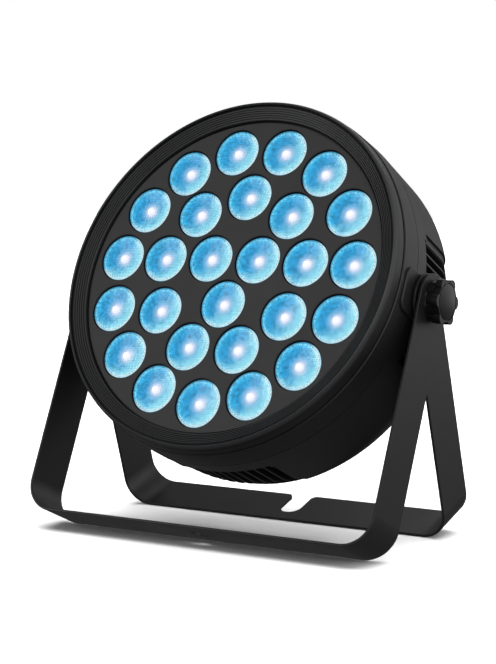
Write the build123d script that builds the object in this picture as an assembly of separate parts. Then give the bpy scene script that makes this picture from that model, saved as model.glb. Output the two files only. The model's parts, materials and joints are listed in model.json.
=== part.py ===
from build123d import *
import os
from math import cos, radians, sin, sqrt

# LED par can light on a double yoke that opens into a floor stand.
#
# The drum-shaped head hangs between two U-shaped straps on one pivot axis.  The
# front strap is the wider one, and the rear strap nests inside it when the stand
# is folded.  A star knob on each side clamps the head and both straps together.
#
# The head is modelled level in its own frame: the optical axis is the Y axis, the
# lenses face -Y, the pivot axis is the X axis, and heights are measured from it.
# The yokes are modelled hanging straight down.  Each is then turned about the
# pivot to its place.

# ---------------------------------------------------------------- stance
PIVOT_HEIGHT = 173.0        # pivot axis above the floor
PIVOT_Y = -7.25             # pivot axis from the middle of the whole light's depth
HEAD_TILT = 25.5            # lenses look up by this many degrees
FRONT_SPLAY = 24.1          # front strap, forward of straight down
REAR_SPLAY = 17.8           # rear strap, behind straight down

# ---------------------------------------------------------------- yokes
STRAP_WIDTH = 38.5
STRAP_THICKNESS = 2.0
STRAP_EDGE = 0.5            # rounding of the long edges
FRONT_HALF_SPAN = 144.1     # pivot centre to the outer face of a front arm
REAR_HALF_SPAN = 140.05
FRONT_BEND = 23.0           # outer bend radius
REAR_BEND = 20.0
CLAMP_HOLE_RADIUS = 6.25
SLOT_WIDTH = 17.0
SLOT_END_BACK = -0.4        # centre of the slot's round end, from the strap's middle
SLOT_MOUTH_RADIUS = 5.5
STUD_RADIUS = 4.0           # M8
STUD_PLAY = 0.08

# ---------------------------------------------------------------- head: stations along Y
FACE_Y = -38.3              # front face of the lens mask plate
RIM_Y = FACE_Y - 8.0
BEZEL_BACK = FACE_Y + 3.5
GASKET_THICKNESS = 1.0
HOUSING_FRONT = BEZEL_BACK + GASKET_THICKNESS
SEAM_Y = FACE_Y + 24.0
CORNER_Y = FACE_Y + 72.0    # where the drum's side meets its rounded rear corner
REAR_Y = FACE_Y + 107.0
VENT_FRONT = FACE_Y + 38.0
VENT_BACK = FACE_Y + 93.0    # on the rear corner, short of the flat rear face
BRACKET_BACK = FACE_Y + 46.1
MASK_BACK = FACE_Y + 1.5
BOARD_FRONT = FACE_Y + 20.3
BOARD_BACK = BOARD_FRONT + 1.6
SINK_BACK = BOARD_BACK + 6.0
FIN_BACK = SINK_BACK + 23.4
CHASSIS_BACK = FIN_BACK + 1.5
FAN_BACK = CHASSIS_BACK + 25.0

# ---------------------------------------------------------------- head: radii
MASK_RADIUS = 119.5
BEZEL_OPENING = 120.8
BEZEL_RADIUS = 134.4
HOUSING_LIP_RADIUS = 135.2
DRUM_RADIUS = 136.2         # at the seam
CORNER_RADIUS = 35.0
CORNER_CENTRE = 100.0       # radius at which the rear corner's arc is centred
WALL = 2.5
BOARD_RADIUS = 117.5
SINK_RADIUS = 124.0
FIN_REACH = 112.0
REAR_OPENING = 86.0
PANEL_RADIUS = 95.0
PANEL_THICKNESS = 2.0
PANEL_FRONT = REAR_Y - WALL - PANEL_THICKNESS
PANEL_FACE = PANEL_FRONT + PANEL_THICKNESS

# ---------------------------------------------------------------- lenses
LENS_RINGS = ((23.0, 3, 60.0), (60.2, 9, 0.0), (97.9, 15, 12.0))   # radius, count, first angle
LENS_RADIUS = 17.6
LENS_RIM_Y = FACE_Y + 0.8
HOLDER_RADIUS = 19.0
MASK_HOLE_RADIUS = 18.7

# ---------------------------------------------------------------- vents
VENT_ZONES = (0.0, 90.0, 180.0, 270.0)      # middle of each zone, clockwise from the top
VENT_HALF_ANGLE = 22.5      # to the outer edge of the closed scoop at each end of a zone
VENT_OPEN_ANGLE = 19.8      # to the edge of the zone's openings
SCOOP_FRONT = VENT_FRONT + 4.0
SCOOP_DEPTH = 1.6
VENT_SETBACK = 2.3          # how far the ribs stand in from the drum's surface
VENT_RIBS = 13
VENT_PITCH = 3.3            # degrees
RIB_THICKNESS = 1.5
RIB_DEPTH = 4.0
VENT_BOSS_MARGIN = 4.0      # solid wall left above and below each boss

# ---------------------------------------------------------------- pivot and knobs
BOSS_FACE = 137.0           # X of the boss's flat face
BOSS_FRONT = -30.0
BOSS_BACK = 9.0
BOSS_BOTTOM = -17.0
BOSS_TOP = 15.5
BOSS_CORNER = 8.0
BRACKET_X = 126.0
BRACKET_THICKNESS = 3.0
INSERT_FLANGE = 10.2
WASHER_RADIUS = 14.0
GAP = 0.05                  # between faces that turn on each other
KNOB_BACK = 145.75
BARREL_RADIUS = 15.0
BARREL_FLUTES = 12
FLUTE_RADIUS = 1.6
STAR_BACK = 150.7
STAR_FRONT = 155.4
STAR_TIP = 17.1
STAR_LOBES = 6
STAR_FIRST_LOBE = 11.5      # degrees from the top towards the rear
LOBE_RADIUS = 4.6
DOME_RADIUS = 12.4
DOME_TOP = 157.0
FACE_GROOVE = 0.8           # width and depth of the groove round the domed face

# ---------------------------------------------------------------- rear panel
BUTTON_X = (-27.0, -9.0, 9.0, 27.0)
BUTTON_Z = 27.0
BUTTON_RADIUS = 3.8
BUTTON_NAMES = ("menu_button", "down_button", "up_button", "enter_button")
DISPLAY_Z = 50.0
DISPLAY_SIZE = (56.0, 20.0)
DATA_X = 29.0
POWER_X = 27.0
DATA_Z = -8.0
POWER_Z = -48.0
FUSE_RADIUS = 6.0
FUSE_Z = -8.0
CONTROL_BOARD_Y = PANEL_FRONT - 10.8


# ================================================================ helpers
def block(x0, x1, y0, y1, z0, z1):
    """A box between two corners."""
    size = Box(x1 - x0, y1 - y0, z1 - z0)
    return Pos((x0 + x1) / 2, (y0 + y1) / 2, (z0 + z1) / 2) * size


def rod_y(radius, y0, y1, x=0.0, z=0.0):
    """A round bar along Y."""
    return Pos(x, (y0 + y1) / 2, z) * Rot(90, 0, 0) * Cylinder(radius, y1 - y0)


def rod_x(radius, x0, x1, y=0.0, z=0.0):
    """A round bar along X."""
    return Pos((x0 + x1) / 2, y, z) * Rot(0, 90, 0) * Cylinder(radius, x1 - x0)


def turned(points):
    """A ring or disc about the optical axis from (radius, y) corners."""
    return revolve(make_face(Polyline(*points, close=True)), Axis.Y)


def around(radius, count, first=0.0):
    """(x, z) of points on a circle, clockwise from the top as seen from the front."""
    for step in range(count):
        angle = radians(first + step * 360.0 / count)
        yield radius * sin(angle), radius * cos(angle)


def pan_screw(head_radius, shank_radius, seat_y, length, x, z):
    """A pan-head screw whose head sits on the plane seat_y, its shank going forward."""
    head_height = head_radius * 0.75
    head = rod_y(head_radius, seat_y, seat_y + head_height, x, z)
    shank = rod_y(shank_radius, seat_y - length, seat_y, x, z)
    drive = rod_y(head_radius * 0.4, seat_y + head_height * 0.5, seat_y + head_height + 1, x, z)
    return head + shank - drive


def in_head(shape):
    """Tilt a shape of the head and lift it to the pivot."""
    return Pos(0, PIVOT_Y, PIVOT_HEIGHT) * Rot(-HEAD_TILT, 0, 0) * shape


def in_yoke(shape, splay):
    """Swing a strap about the pivot; a positive splay goes to the rear."""
    return Pos(0, PIVOT_Y, PIVOT_HEIGHT) * Rot(splay, 0, 0) * shape


def mirrored(shape):
    """The same piece on the other side of the light."""
    return mirror(shape, Plane.YZ)


os.makedirs("parts", exist_ok=True)


def save(name, shape):
    """Write one node."""
    export_step(shape, "parts/" + name + ".step")


# ================================================================ yokes
def arm_length(splay):
    """Pivot to the outer face of the crossbar, so that its inner edge meets the floor."""
    angle = radians(splay)
    rounding = STRAP_EDGE * (cos(angle) + sin(angle) - 1)
    return (PIVOT_HEIGHT - STRAP_WIDTH / 2 * sin(angle) + rounding) / cos(angle)


def strap(half_span, length, bend):
    """A flat bar bent into a U, its arm ends rounded about the pivot holes."""
    top = STRAP_WIDTH / 2
    outer = Pos(0, (top - length) / 2) * Rectangle(2 * half_span, top + length)
    outer = fillet(outer.vertices().group_by(Axis.Y)[0], bend)
    inner_length = length - STRAP_THICKNESS
    inner_span = half_span - STRAP_THICKNESS
    inner = Pos(0, (top - inner_length) / 2) * Rectangle(2 * inner_span, top + inner_length)
    inner = fillet(inner.vertices().group_by(Axis.Y)[0], bend - STRAP_THICKNESS)
    section = Plane.XZ * (outer - inner)
    bar = extrude(section, STRAP_WIDTH / 2, both=True)
    below = block(-half_span - 1, half_span + 1, -top, top, -length - 1, 0)
    round_end = rod_x(top, -half_span - 1, half_span + 1)
    bar = bar & (below + round_end)
    return bar


def soften(bar):
    """Round the long edges of a strap."""
    middle = STRAP_WIDTH / 2
    edges = [e for e in bar.edges() if abs(abs(e.center().Y) - middle) < 0.01 and e.center().Z < 1]
    return fillet(edges, STRAP_EDGE)


def front_yoke():
    length = arm_length(FRONT_SPLAY)
    bar = soften(strap(FRONT_HALF_SPAN, length, FRONT_BEND))
    bar -= rod_x(STUD_RADIUS + STUD_PLAY, -FRONT_HALF_SPAN - 1, FRONT_HALF_SPAN + 1)
    return bar - Pos(0, 0, -length) * Cylinder(CLAMP_HOLE_RADIUS, 4 * STRAP_THICKNESS)


def rear_yoke():
    length = arm_length(REAR_SPLAY)
    bar = soften(strap(REAR_HALF_SPAN, length, REAR_BEND))
    bar -= rod_x(STUD_RADIUS + STUD_PLAY, -REAR_HALF_SPAN - 1, REAR_HALF_SPAN + 1)
    mouth = STRAP_WIDTH / 2
    half = SLOT_WIDTH / 2
    flare = SLOT_MOUTH_RADIUS
    outline = Rectangle(SLOT_WIDTH, mouth + 1 - SLOT_END_BACK)
    outline = Pos(0, (mouth + 1 + SLOT_END_BACK) / 2) * outline
    outline += Pos(0, SLOT_END_BACK) * Circle(half)
    for side in (-1, 1):
        corner = Pos(side * (half + flare / 2), mouth - flare / 2) * Rectangle(flare, flare)
        outline += corner - Pos(side * (half + flare), mouth - flare) * Circle(flare)
        outline += Pos(side * (half + flare / 2), mouth + 0.5) * Rectangle(flare, 1.0)
    return bar - Pos(0, 0, -length) * extrude(outline, 2 * STRAP_THICKNESS, both=True)


def washer_x(outer, inner, x0, x1):
    return rod_x(outer, x0, x1) - rod_x(inner, x0 - 1, x1 + 1)


save("front_yoke", in_yoke(front_yoke(), -FRONT_SPLAY))
save("rear_yoke", in_yoke(rear_yoke(), REAR_SPLAY))
HOLE_RADIUS = STUD_RADIUS + STUD_PLAY
spacer = washer_x(WASHER_RADIUS, HOLE_RADIUS, REAR_HALF_SPAN, FRONT_HALF_SPAN - STRAP_THICKNESS - GAP)
save("spacer_washer_right", in_yoke(spacer, REAR_SPLAY))
save("spacer_washer_left", in_yoke(mirrored(spacer), REAR_SPLAY))


# ================================================================ knobs
def knob():
    """A ribbed barrel and a six-lobed star with a shallow domed face."""
    barrel = rod_x(BARREL_RADIUS, KNOB_BACK, STAR_BACK)
    for y, z in around(BARREL_RADIUS + FLUTE_RADIUS * 0.35, BARREL_FLUTES):
        barrel -= rod_x(FLUTE_RADIUS, KNOB_BACK - 1, STAR_BACK, y, z)
    lobe_reach = STAR_TIP - LOBE_RADIUS
    outline = Circle(lobe_reach + 1.4)
    for y, z in around(lobe_reach, STAR_LOBES, STAR_FIRST_LOBE):
        outline += Pos(y, z) * Circle(LOBE_RADIUS)
    star = Plane.YZ.offset(STAR_BACK) * extrude(outline, STAR_FRONT - STAR_BACK)
    ring = rod_x(DOME_RADIUS + FACE_GROOVE, STAR_FRONT - FACE_GROOVE, STAR_FRONT + 1)
    star -= ring - rod_x(DOME_RADIUS, STAR_FRONT - 2, STAR_FRONT + 2)
    rise = DOME_TOP - STAR_FRONT
    ball = (DOME_RADIUS ** 2 + rise ** 2) / (2 * rise)
    dome = Pos(DOME_TOP - ball, 0, 0) * Sphere(ball)
    dome &= rod_x(DOME_RADIUS, STAR_FRONT - 0.5, DOME_TOP + 1)
    bore = rod_x(STUD_RADIUS + GAP, KNOB_BACK - 1, STAR_FRONT - 2)
    return barrel + star + dome - bore


def knob_stud():
    return rod_x(STUD_RADIUS, BRACKET_X - 2, STAR_FRONT - 2.5)


clamp_washer = washer_x(12.5, HOLE_RADIUS, FRONT_HALF_SPAN + GAP, KNOB_BACK - GAP)
knob_shape = knob()
for side, flip in (("right", False), ("left", True)):
    for name, shape in (("knob", knob_shape), ("knob_stud", knob_stud()), ("clamp_washer", clamp_washer)):
        save(name + "_" + side, in_head(mirrored(shape) if flip else shape))


# ================================================================ drum
def drum_line(inset):
    """The drum's outer line from the seam to the rear face, moved in by inset."""
    start = (DRUM_RADIUS - inset, SEAM_Y)
    side_end = (CORNER_CENTRE + CORNER_RADIUS - inset, CORNER_Y)
    rear_start = (CORNER_CENTRE, REAR_Y - inset)
    bulge = (CORNER_RADIUS - inset) / sqrt(2)
    middle = (CORNER_CENTRE + bulge, CORNER_Y + bulge)
    return start, side_end, middle, rear_start


def drum_band(outer_inset, inner_inset, reach):
    """Half-section between two insets, from the seam round to a radius on the rear face."""
    a, b, c, d = drum_line(outer_inset)
    e, f, g, h = drum_line(inner_inset)
    outer_end = (reach, d[1])
    inner_end = (reach, h[1])
    edges = [Line(a, b), ThreePointArc(b, c, d), Line(d, outer_end), Line(outer_end, inner_end)]
    edges += [Line(inner_end, h), ThreePointArc(h, g, f), Line(f, e), Line(e, a)]
    return make_face(Curve() + edges)


def boss_block(x0, x1, clearance):
    """The boss's rounded outline between two X planes."""
    length = BOSS_BACK - BOSS_FRONT + 2 * clearance
    height = BOSS_TOP - BOSS_BOTTOM + 2 * clearance
    outline = RectangleRounded(length, height, BOSS_CORNER + clearance)
    middle = Pos((BOSS_FRONT + BOSS_BACK) / 2, (BOSS_BOTTOM + BOSS_TOP) / 2)
    return Plane.YZ.offset(x0) * extrude(middle * outline, x1 - x0)


def boss_windows():
    """Openings for the two bosses."""
    window = boss_block(115, 150, 0.1)
    return window + mirrored(window)


def boss_walls():
    """Solid parts of the drum's side, round both bosses, where there is no vent."""
    low = BOSS_BOTTOM - VENT_BOSS_MARGIN
    high = BOSS_TOP + VENT_BOSS_MARGIN
    return block(-150, 150, VENT_FRONT - 3, BOSS_BACK + 1.2, low, high)


def vent_wedge(middle_angle, half_angle, front):
    """The space swept by one vent zone, from the drum's side on to its rear corner."""
    half = radians(half_angle)
    far = 220.0
    points = [(0, 0), (far * sin(-half), far * cos(half)), (far * sin(half), far * cos(half))]
    wedge = extrude(Plane.XZ * make_face(Polyline(*points, close=True)), -(REAR_Y + 5))
    wedge &= block(-far, far, front, VENT_BACK, -far, far)
    return Rot(0, middle_angle, 0) * wedge


def rib(angle):
    """One vent rib: a thin plate that follows the drum's line."""
    section = drum_band(VENT_SETBACK, VENT_SETBACK + RIB_DEPTH, CORNER_CENTRE - 3)
    plate = extrude(section, RIB_THICKNESS / 2, both=True)
    plate &= block(0, 150, VENT_FRONT - 2, VENT_BACK + 2, -5, 5)
    return Rot(0, angle - 90.0, 0) * plate


def rear_shell():
    drum = revolve(drum_band(0, WALL, REAR_OPENING), Axis.Y)
    walls = boss_walls()
    skin = revolve(drum_band(-1, SCOOP_DEPTH, REAR_OPENING), Axis.Y)
    for zone in VENT_ZONES:
        drum -= (vent_wedge(zone, VENT_HALF_ANGLE, SCOOP_FRONT) & skin) - walls
        drum -= vent_wedge(zone, VENT_OPEN_ANGLE, VENT_FRONT) - walls
    windows = boss_windows()
    drum -= windows
    outside = DRUM_RADIUS + 1
    groove = turned([(DRUM_RADIUS - 0.5, SEAM_Y - 1), (outside, SEAM_Y - 1), (outside, SEAM_Y + 1)])
    drum -= groove
    for x, z in around(90.5, 8, 22.5):
        drum -= rod_y(2.0, REAR_Y - WALL - 1, REAR_Y + 1, x, z)
    ribs = []
    first = -(VENT_RIBS - 1) / 2 * VENT_PITCH
    for zone in VENT_ZONES:
        ribs += [rib(zone + first + number * VENT_PITCH) for number in range(VENT_RIBS)]
    return drum.fuse(*[each - walls for each in ribs])


def front_housing():
    inner = DRUM_RADIUS - WALL - 0.8
    ring = turned([
        (HOUSING_LIP_RADIUS - 0.6, HOUSING_FRONT),
        (HOUSING_LIP_RADIUS, HOUSING_FRONT + 0.6),
        (DRUM_RADIUS, SEAM_Y - 0.6),
        (DRUM_RADIUS - 0.6, SEAM_Y),
        (inner, SEAM_Y),
        (inner, BOARD_BACK),
        (BOARD_RADIUS + 2, BOARD_BACK),
        (BOARD_RADIUS + 2, BOARD_BACK - 3),
        (inner, BOARD_BACK - 3),
        (inner, HOUSING_FRONT + 3),
        (126.0, HOUSING_FRONT + 3),
        (126.0, HOUSING_FRONT),
    ])
    ring -= boss_windows()
    for x, z in around(129.3, 8, 22.5):
        ring -= rod_y(1.7, HOUSING_FRONT - 1, HOUSING_FRONT + 4, x, z)
    for x, z in around(121.7, 8, 22.5):
        ring -= rod_y(1.65, BOARD_BACK - 3.5, BOARD_BACK + 1, x, z)
    return ring


def front_bezel():
    ring = turned([
        (BEZEL_OPENING + 0.5, FACE_Y - 2.2),
        (130.0, FACE_Y - 6.4),
        (130.4, FACE_Y - 5.2),
        (131.0, FACE_Y - 5.2),
        (131.15, RIM_Y + 0.7),
        (131.9, RIM_Y),
        (132.6, RIM_Y + 0.5),
        (133.4, RIM_Y + 2.0),
        (133.95, RIM_Y + 4.0),
        (134.2, RIM_Y + 6.0),
        (BEZEL_RADIUS, BEZEL_BACK),
        (MASK_RADIUS - 2.3, BEZEL_BACK),
        (MASK_RADIUS - 2.3, MASK_BACK),
        (BEZEL_OPENING, MASK_BACK),
        (BEZEL_OPENING, FACE_Y - 1.6),
    ])
    for x, z in around(129.3, 8, 22.5):
        ring -= rod_y(1.6, BEZEL_BACK - 6, BEZEL_BACK + 1, x, z)
    return ring


def bezel_gasket():
    ring = rod_y(133.5, BEZEL_BACK, HOUSING_FRONT) - rod_y(126.5, BEZEL_BACK - 1, HOUSING_FRONT + 1)
    for x, z in around(129.3, 8, 22.5):
        ring -= rod_y(1.7, BEZEL_BACK - 1, HOUSING_FRONT + 1, x, z)
    return ring


def bezel_screws():
    seat = HOUSING_FRONT + 3
    screws = [pan_screw(2.6, 1.5, seat, 9.5, x, z) for x, z in around(129.3, 8, 22.5)]
    return Compound(children=screws)


save("rear_shell", in_head(rear_shell()))
save("front_housing", in_head(front_housing()))
save("front_bezel", in_head(front_bezel()))
save("bezel_gasket", in_head(bezel_gasket()))
save("bezel_screws", in_head(bezel_screws()))


# ================================================================ pivot pieces in the head
def pivot_boss():
    """A flat pad that shows outside the drum, with a spigot down to the bracket."""
    pad = boss_block(128, BOSS_FACE, 0.0)
    outer_edges = [e for e in pad.edges() if e.center().X > BOSS_FACE - 0.01]
    pad = fillet(outer_edges, 1.2)
    pad -= rod_y(DRUM_RADIUS - WALL, BOSS_FRONT - 5, BOSS_BACK + 5)
    spigot = rod_x(11.0, BRACKET_X + BRACKET_THICKNESS, BOSS_FACE - 1.5)
    spigot &= block(120, 140, -11, BOSS_BACK, -12, 12)
    boss = pad + spigot
    boss -= rod_x(WASHER_RADIUS + 0.2, BOSS_FACE - 1.4, BOSS_FACE + 1)
    return boss - rod_x(7.1, 120, 140)


def friction_disc():
    return washer_x(WASHER_RADIUS, 7.2, BOSS_FACE - 1.4, REAR_HALF_SPAN - STRAP_THICKNESS - GAP)


def pivot_insert():
    tube = rod_x(7.0, BRACKET_X, BOSS_FACE - 1.0)
    flange = rod_x(INSERT_FLANGE, BRACKET_X - 4, BRACKET_X)
    return tube + flange - rod_x(HOLE_RADIUS, 115, 140)


def pivot_bracket():
    """A bent steel angle that ties the pivot to the heat sink."""
    plate = block(BRACKET_X, BRACKET_X + BRACKET_THICKNESS, SINK_BACK, BRACKET_BACK, -18, 18)
    foot = block(104, BRACKET_X, SINK_BACK, SINK_BACK + 3, -18, 18)
    foot -= rod_x(INSERT_FLANGE + 0.4, 100, BRACKET_X)
    bracket = plate + foot
    bracket -= rod_x(7.1, BRACKET_X - 1, BRACKET_X + 5)
    for z in (-11, 11):
        bracket -= rod_y(2.2, SINK_BACK - 1, SINK_BACK + 4, 112, z)
    return bracket


for name, shape in (("pivot_boss", pivot_boss()), ("friction_disc", friction_disc()),
                    ("pivot_insert", pivot_insert()), ("pivot_bracket", pivot_bracket())):
    save(name + "_right", in_head(shape))
    save(name + "_left", in_head(mirrored(shape)))


# ================================================================ optics
def lens():
    """A moulded collimator: shallow domed face, conical back, pocket for the emitter."""
    rim = LENS_RIM_Y
    crown = LENS_RIM_Y - 0.6
    back = BOARD_FRONT - 2.0
    third = LENS_RADIUS * 0.55
    edges = [
        ThreePointArc((0, crown), (third, crown + (rim - crown) * 0.3), (LENS_RADIUS, rim)),
        Line((LENS_RADIUS, rim), (LENS_RADIUS, rim + 1.2)),
        Line((LENS_RADIUS, rim + 1.2), (7.0, back)),
        Line((7.0, back), (3.6, back)),
        Line((3.6, back), (3.6, back - 4)),
        Line((3.6, back - 4), (0, back - 4)),
        Line((0, back - 4), (0, crown)),
    ]
    return revolve(make_face(Curve() + edges), Axis.Y)


def lens_holder():
    front = MASK_BACK + 0.1
    return turned([
        (HOLDER_RADIUS, front), (HOLDER_RADIUS, front + 3.2), (9.7, BOARD_FRONT),
        (8.3, BOARD_FRONT), (8.3, BOARD_FRONT - 2.0), (LENS_RADIUS + 0.15, front + 1.9),
        (LENS_RADIUS + 0.15, front),
    ])


def lens_mask_plate():
    plate = rod_y(MASK_RADIUS, FACE_Y, MASK_BACK)
    for radius, count, first in LENS_RINGS:
        for x, z in around(radius, count, first):
            plate -= rod_y(MASK_HOLE_RADIUS, FACE_Y - 1, MASK_BACK + 1, x, z)
    return plate


def all_lens_places():
    for radius, count, first in LENS_RINGS:
        yield from around(radius, count, first)


def led_emitter():
    chip = block(-2.6, 2.6, BOARD_FRONT - 1.0, BOARD_FRONT, -2.6, 2.6)
    dome = Pos(0, BOARD_FRONT - 1.0, 0) * Sphere(2.3)
    return chip + (dome & block(-3, 3, BOARD_FRONT - 4, BOARD_FRONT - 0.5, -3, 3))


def copies(shape, places):
    """Separate copies of one piece, as a group."""
    return Compound(children=[Pos(x, 0, z) * shape for x, z in places])


lens_shape = lens()
for name, (radius, count, first) in zip(("inner_lenses", "middle_lenses", "outer_lenses"), LENS_RINGS):
    save(name, in_head(copies(lens_shape, around(radius, count, first))))
save("lens_holders", in_head(copies(lens_holder(), all_lens_places())))
save("lens_mask_plate", in_head(lens_mask_plate()))
save("led_emitters", in_head(copies(led_emitter(), all_lens_places())))
save("led_board", in_head(rod_y(BOARD_RADIUS, BOARD_FRONT, BOARD_BACK)))


# ================================================================ cooling
FAN_SIZE = 92.0
FAN_PITCH = 41.25           # half the distance between screw centres
FAN_BORE = 44.0


def heatsink():
    base = rod_y(SINK_RADIUS, BOARD_BACK, SINK_BACK)
    fins = [block(x - 1, x + 1, SINK_BACK - 0.5, FIN_BACK, -FIN_REACH, FIN_REACH) for x in range(-99, 100, 9)]
    disc = rod_y(FIN_REACH, SINK_BACK - 1, FIN_BACK)
    body = base.fuse(*[fin & disc for fin in fins])
    for x in (-FAN_PITCH, FAN_PITCH):
        for z in (-FAN_PITCH, FAN_PITCH):
            body += rod_y(4.5, SINK_BACK - 0.5, FIN_BACK, x, z)
            body -= rod_y(1.9, FIN_BACK - 12, FIN_BACK + 1, x, z)
    for x, z in around(121.7, 8, 22.5):
        body -= rod_y(1.65, BOARD_BACK - 1, SINK_BACK + 1, x, z)
    return body


def heatsink_screws():
    screws = [pan_screw(2.2, 1.5, SINK_BACK, 8.5, x, z) for x, z in around(121.7, 8, 22.5)]
    for side in (-112, 112):
        screws += [pan_screw(3.4, 2.0, SINK_BACK + 3, 2.9, side, z) for z in (-11, 11)]
    return Compound(children=screws)


def chassis_plate():
    plate = rod_y(FIN_REACH - 4, FIN_BACK, CHASSIS_BACK) - rod_y(FAN_BORE, FIN_BACK - 1, CHASSIS_BACK + 1)
    for x in (-FAN_PITCH, FAN_PITCH):
        for z in (-FAN_PITCH, FAN_PITCH):
            plate -= rod_y(2.1, FIN_BACK - 1, CHASSIS_BACK + 1, x, z)
    return plate


def fan_frame():
    half = FAN_SIZE / 2
    frame = block(-half, half, CHASSIS_BACK, FAN_BACK, -half, half)
    frame -= rod_y(FAN_BORE, CHASSIS_BACK - 1, FAN_BACK + 1)
    frame += rod_y(17, CHASSIS_BACK, CHASSIS_BACK + 3)
    frame += block(-45, 45, CHASSIS_BACK, CHASSIS_BACK + 3, -2, 2)
    frame += block(-2, 2, CHASSIS_BACK, CHASSIS_BACK + 3, -45, 45)
    frame += rod_y(3.0, CHASSIS_BACK + 3, CHASSIS_BACK + 15)
    for x in (-FAN_PITCH, FAN_PITCH):
        for z in (-FAN_PITCH, FAN_PITCH):
            frame -= rod_y(2.1, CHASSIS_BACK - 1, FAN_BACK + 1, x, z)
    return frame


def fan_rotor():
    front = CHASSIS_BACK + 4
    back = FAN_BACK - 1
    hub = rod_y(18, front, back)
    blades = []
    for number in range(7):
        blade = block(16, FAN_BORE - 1.2, -1, 1, -10, 10)
        blade = Pos(0, (front + back) / 2, 0) * Rot(38, 0, 0) * blade
        blade &= rod_y(FAN_BORE - 1.0, front, back)
        blades.append(Rot(0, number * 360 / 7, 0) * blade)
    return hub.fuse(*blades) - rod_y(3.06, front - 1, CHASSIS_BACK + 15.5)


def fan_screws():
    places = [(x, z) for x in (-FAN_PITCH, FAN_PITCH) for z in (-FAN_PITCH, FAN_PITCH)]
    return Compound(children=[pan_screw(3.2, 1.8, FAN_BACK, 37, x, z) for x, z in places])


save("heatsink", in_head(heatsink()))
save("heatsink_screws", in_head(heatsink_screws()))
save("chassis_plate", in_head(chassis_plate()))
save("fan_frame", in_head(fan_frame()))
save("fan_rotor", in_head(fan_rotor()))
save("fan_screws", in_head(fan_screws()))


# ================================================================ electronics
STANDOFF = 6.0
PCB = 1.6
SUPPLY_Z = (-98.0, -50.0)
DRIVER_Z = (50.0, 98.0)
BOARD_HALF_X = 48.0
DECK_Y = CHASSIS_BACK + STANDOFF


def circuit_board(z_range):
    board = block(-BOARD_HALF_X, BOARD_HALF_X, DECK_Y, DECK_Y + PCB, *z_range)
    return board & rod_y(FIN_REACH - 6, DECK_Y - 1, DECK_Y + 5)


def supply_parts():
    deck = DECK_Y + PCB
    pieces = [
        block(-14, 14, deck, deck + 22, -84, -58),      # transformer
        block(22, 40, deck, deck + 16, -80, -62),       # filter choke
        block(-24, -20, deck, deck + 20, -88, -56),     # cooling plate of the switch
        rod_y(8, deck, deck + 24, -34, -64),            # reservoir capacitor
        rod_y(5, deck, deck + 16, -34, -80),            # output capacitor
        rod_y(5, deck, deck + 16, 20, -92),             # output capacitor
        block(-8, 8, deck, deck + 9, -96, -88),         # bridge rectifier
    ]
    return Compound(children=pieces)


def driver_parts():
    deck = DECK_Y + PCB
    pieces = [block(x - 5, x + 5, deck, deck + 5, 56, 66) for x in (-33, -19, 19, 33)]
    pieces += [rod_y(4, deck, deck + 11, x, 74) for x in (-33, -19, 19, 33)]
    pieces.append(block(-9, 9, deck, deck + 2, 74, 92))
    pieces += [block(x - 6, x + 6, deck, deck + 8, 83, 89) for x in (-26, 26)]
    return Compound(children=pieces)


def board_standoffs():
    posts = []
    for x in (-38, 38):
        for z in (-90, -54, 54, 90):
            posts.append(rod_y(2.8, CHASSIS_BACK, DECK_Y, x, z))
    return Compound(children=posts)


save("power_supply_board", in_head(circuit_board(SUPPLY_Z)))
save("power_supply_parts", in_head(supply_parts()))
save("led_driver_board", in_head(circuit_board(DRIVER_Z)))
save("led_driver_parts", in_head(driver_parts()))
save("board_standoffs", in_head(board_standoffs()))


# ================================================================ rear panel
SOCKET_PLATE = (26.0, 31.0, 2.0)
POWER_PLATE = (48.0, 26.0, 2.5)
POWER_BODY = (28.0, 20.5)
POWER_CAVITY = (24.5, 16.5, 14.0)


def rear_panel():
    panel = rod_y(PANEL_RADIUS, PANEL_FRONT, PANEL_FACE)
    low, high = PANEL_FRONT - 1, PANEL_FACE + 1
    width, height = DISPLAY_SIZE
    panel -= block(-width / 2, width / 2, low, high, DISPLAY_Z - height / 2, DISPLAY_Z + height / 2)
    for x in BUTTON_X:
        panel -= rod_y(BUTTON_RADIUS + 0.3, low, high, x, BUTTON_Z)
    width, height = POWER_BODY
    for side in (-1, 1):
        panel -= rod_y(11.6, low, high, side * DATA_X, DATA_Z)
        x = side * POWER_X
        panel -= block(x - width / 2 - 0.2, x + width / 2 + 0.2, low, high,
                       POWER_Z - height / 2 - 0.2, POWER_Z + height / 2 + 0.2)
    panel -= rod_y(FUSE_RADIUS + 0.2, low, high, 0, FUSE_Z)
    for x, z in around(90.5, 8, 22.5):
        panel -= rod_y(1.9, low, high, x, z)
    for x in (-12, 12):
        panel -= rod_y(2.7, low, high, x, 74)
    return panel


def rear_panel_screws():
    screws = [pan_screw(3.2, 1.7, REAR_Y, 8, x, z) for x, z in around(90.5, 8, 22.5)]
    return Compound(children=screws)


def display_window():
    width, height = DISPLAY_SIZE
    return block(-width / 2 + 0.1, width / 2 - 0.1, PANEL_FRONT, PANEL_FACE + 0.4,
                 DISPLAY_Z - height / 2 + 0.1, DISPLAY_Z + height / 2 - 0.1)


def display_module():
    return block(-32, 32, CONTROL_BOARD_Y + PCB, PANEL_FRONT - 0.2, DISPLAY_Z - 12, DISPLAY_Z + 12)


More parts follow.
